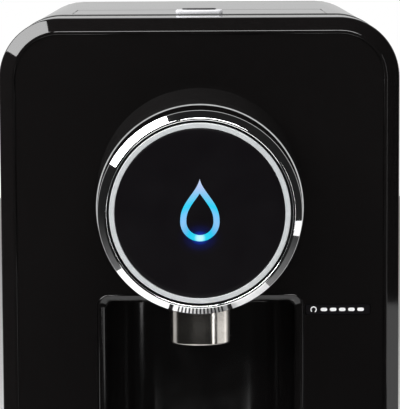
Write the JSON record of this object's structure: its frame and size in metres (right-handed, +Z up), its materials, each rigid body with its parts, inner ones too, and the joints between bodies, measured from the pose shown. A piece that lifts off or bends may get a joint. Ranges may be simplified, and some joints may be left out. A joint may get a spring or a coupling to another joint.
{
  "type": "soda carbonator",
  "caption": "Countertop soda carbonator, gloss black, with a round chrome-ringed push head lit by a water drop, a steel nozzle, a glass niche and a drip tray.",
  "frame": {"origin": "on the table, under the middle of the machine's outline", "axes": "+Z up, -Y towards the user, +X to the user's right"},
  "size_m": [0.2, 0.388, 0.4227],
  "materials": {
    "gloss_black": "polished",
    "black_moulding": "fine grain",
    "black_glass": "polished",
    "chrome": "mirror",
    "satin_silver": "satin",
    "brushed_steel": "brushed",
    "brass": "machined",
    "light_guide": "glowing blue-white",
    "pale_moulding": "satin",
    "clear_plastic": "clear",
    "rubber": "matt",
    "zinc_steel": "zinc plated",
    "enamel": "gloss enamel",
    "board": "solder mask",
    "case_metal": "folded sheet",
    "grey_plastic": "satin",
    "galvanised": "galvanised"
  },
  "bodies": {
    "housing": {"front_frame": "gloss_black", "front_panel": "gloss_black", "body_shell": "gloss_black", "alcove_liner": "gloss_black", "head_neck": "gloss_black", "drip_base": "gloss_black", "base_pan": "black_moulding", "back_panel": "black_moulding", "head_carrier": "black_moulding", "nozzle_outlet": "black_moulding", "outlet_block": "black_moulding", "tank_valve": "black_moulding", "gas_regulator": "black_moulding", "vessel_stand": "black_moulding", "pump_head": "black_moulding", "power_inlet": "black_moulding", "chrome_ring": "chrome", "nozzle_sleeve": "brushed_steel", "pressure_vessel": "brushed_steel", "pump_motor": "brushed_steel", "cylinder_valve": "brass", "vessel_cap": "brass", "water_tank": "clear_plastic", "foot_1": "rubber", "foot_2": "rubber", "foot_3": "rubber", "foot_4": "rubber", "outlet_seal": "rubber", "hose_gas": "rubber", "hose_outlet": "rubber", "hose_pressure": "rubber", "hose_suction": "rubber", "back_screw_1": "zinc_steel", "back_screw_2": "zinc_steel", "back_screw_3": "zinc_steel", "back_screw_4": "zinc_steel", "lid_pin_left": "zinc_steel", "lid_pin_right": "zinc_steel", "door_pin_low": "zinc_steel", "door_pin_high": "zinc_steel", "button_spring": "zinc_steel", "reset_spring": "zinc_steel", "gas_cylinder": "enamel", "led_board": "board", "reset_board": "board", "control_board": "board", "power_supply": "case_metal", "push_switch": "grey_plastic", "reset_switch": "grey_plastic", "inner_frame": "galvanised"},
    "button": {"button_carrier": "black_moulding", "button_face": "black_glass", "drop_lens": "light_guide", "button_trim": "satin_silver"},
    "reset": {"reset_key": "black_glass"},
    "tray": {"drip_tray": "black_moulding"},
    "grille": {"drip_grille": "brushed_steel"},
    "lid": {"fill_lid": "gloss_black", "lid_tab": "pale_moulding"},
    "door": {"cylinder_door": "black_moulding"}
  },
  "joints": [
    {"name": "button_press", "type": "slide", "parent": "housing", "child": "button", "axis": [0, 1, 0], "range_m": [0, 0.003], "stiffness_N_per_m": 800, "springref_m": -0.003, "deforming": ["button_spring"]},
    {"name": "reset_press", "type": "slide", "parent": "housing", "child": "reset", "axis": [0, 1, 0], "range_m": [0, 0.0015], "stiffness_N_per_m": 600, "springref_m": -0.002, "deforming": ["reset_spring"]},
    {"name": "tray_slide", "type": "slide", "parent": "housing", "child": "tray", "axis": [0, -1, 0], "range_m": [0, 0.105]},
    {"name": "grille_lift", "type": "slide", "parent": "tray", "child": "grille", "axis": [0, 0, 1], "range_m": [0, 0.06]},
    {"name": "lid_hinge", "type": "hinge", "parent": "housing", "child": "lid", "pos_m": [0, 0.037, 0.418], "axis": [-1, 0, 0], "range_deg": [0, 92]},
    {"name": "door_hinge", "type": "hinge", "parent": "housing", "child": "door", "pos_m": [0.085, 0.1916, 0.03], "axis": [0, 0, -1], "range_deg": [0, 90]}
  ]
}
